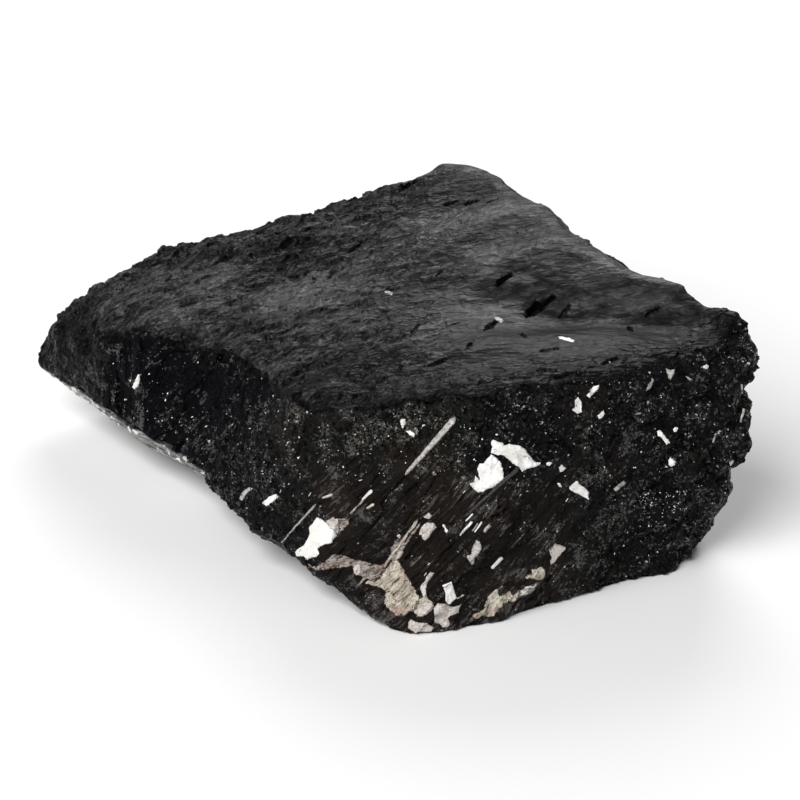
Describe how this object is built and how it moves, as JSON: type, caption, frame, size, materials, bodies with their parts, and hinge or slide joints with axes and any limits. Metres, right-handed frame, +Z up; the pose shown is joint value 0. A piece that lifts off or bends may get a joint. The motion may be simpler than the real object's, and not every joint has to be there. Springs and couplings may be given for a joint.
{
  "type": "black tourmaline specimen",
  "caption": "Broken block of massive black tourmaline with a flat weathered top, pale feldspar grains and patches in one broken face, and a quartz seam along the lower left edge.",
  "frame": {"origin": "middle of the footprint's bounding box, on the flat underside", "axes": "+X along the long side, from the thin tip to the thick end; the broken face with the pale grains looks towards -Y; +Z up, out of the weathered top"},
  "size_m": [0.1617, 0.1122, 0.0597],
  "materials": {
    "tourmaline": "black broken mineral: semi-matte on the weathered top, glassy specks in the breaks",
    "feldspar": "dull beige to pinkish, earthy",
    "feldspar_white": "white, slightly pearly cleavage",
    "quartz": "pale grey, greasy"
  },
  "bodies": {
    "root": {"tourmaline_mass": "tourmaline", "quartz_seam": "quartz", "quartz_lath": "quartz", "feldspar_matrix_toe": "feldspar", "feldspar_matrix_side": "feldspar", "feldspar_grain_large": "feldspar_white", "feldspar_grain_left_eye": "feldspar_white", "feldspar_grain_right_eye": "feldspar_white", "feldspar_grain_middle": "feldspar_white", "feldspar_grain_low": "feldspar_white", "feldspar_grain_pair": "feldspar_white"}
  },
  "joints": []
}
